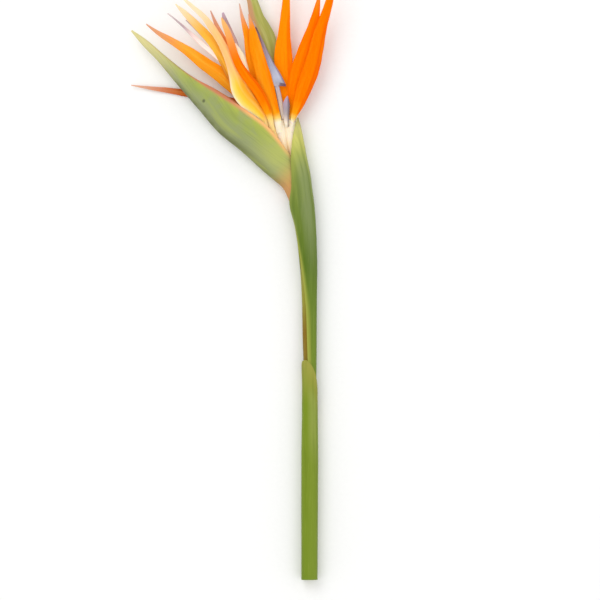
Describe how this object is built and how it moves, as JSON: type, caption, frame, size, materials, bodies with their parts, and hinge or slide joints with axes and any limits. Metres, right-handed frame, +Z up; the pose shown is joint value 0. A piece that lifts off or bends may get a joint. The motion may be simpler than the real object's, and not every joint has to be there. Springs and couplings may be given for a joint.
{
  "type": "bird of paradise flower",
  "caption": "Cut bird of paradise flower lying down: long green stem with sheathing bracts, beaked spathe, fan of orange sepals and a blue arrow-shaped petal.",
  "frame": {"origin": "middle of the flat spot under the neck, where the stem meets the spathe, on the surface the flower lies on", "axes": "+Z up from the surface, +Y from the cut end of the stem towards the flower head, -X towards the tip of the spathe"},
  "size_m": [0.1647, 0.5002, 0.0375],
  "materials": {
    "stem_green": "waxy green stalk",
    "sheath_green": "waxy green bract",
    "spathe_green": "dull grey-green bloom",
    "bract_green": "satin yellow-green bract",
    "base_cream": "satin cream",
    "sepal_deep": "satin deep orange",
    "sepal_bright": "satin bright orange",
    "sepal_yellow": "satin yellow-orange",
    "sepal_pale": "satin cream yellow",
    "sepal_brown": "dull orange-brown",
    "petal_blue": "satin lilac blue",
    "petal_pale": "satin pale lilac",
    "petal_withered": "dull withered lilac",
    "style": "dull pinkish brown"
  },
  "bodies": {
    "root": {"stem": "stem_green", "upper_sheath": "sheath_green", "lower_sheath": "sheath_green", "spathe": "spathe_green", "inner_bract": "bract_green", "floret_1_base": "base_cream", "floret_2_base": "base_cream", "floret_3_base": "base_cream", "floret_4_base": "base_cream", "floret_1_sepal_front": "sepal_deep", "floret_1_sepal_middle": "sepal_deep", "floret_1_sepal_back": "sepal_deep", "floret_1_hood_petal": "petal_pale", "floret_2_sepal_front": "sepal_bright", "floret_2_sepal_middle": "sepal_bright", "floret_2_sepal_back": "sepal_pale", "floret_3_sepal_right": "sepal_deep", "floret_3_sepal_middle": "sepal_deep", "floret_3_sepal_left": "sepal_yellow", "floret_4_sepal_upper": "sepal_yellow", "floret_4_sepal_middle": "sepal_bright", "floret_4_sepal_lower": "sepal_brown", "floret_4_arrow_petal": "petal_withered", "floret_1_arrow_petal": "petal_blue", "floret_2_arrow_petal": "petal_blue", "floret_3_arrow_petal": "petal_withered", "floret_1_style": "style", "floret_4_style": "style"}
  },
  "joints": []
}
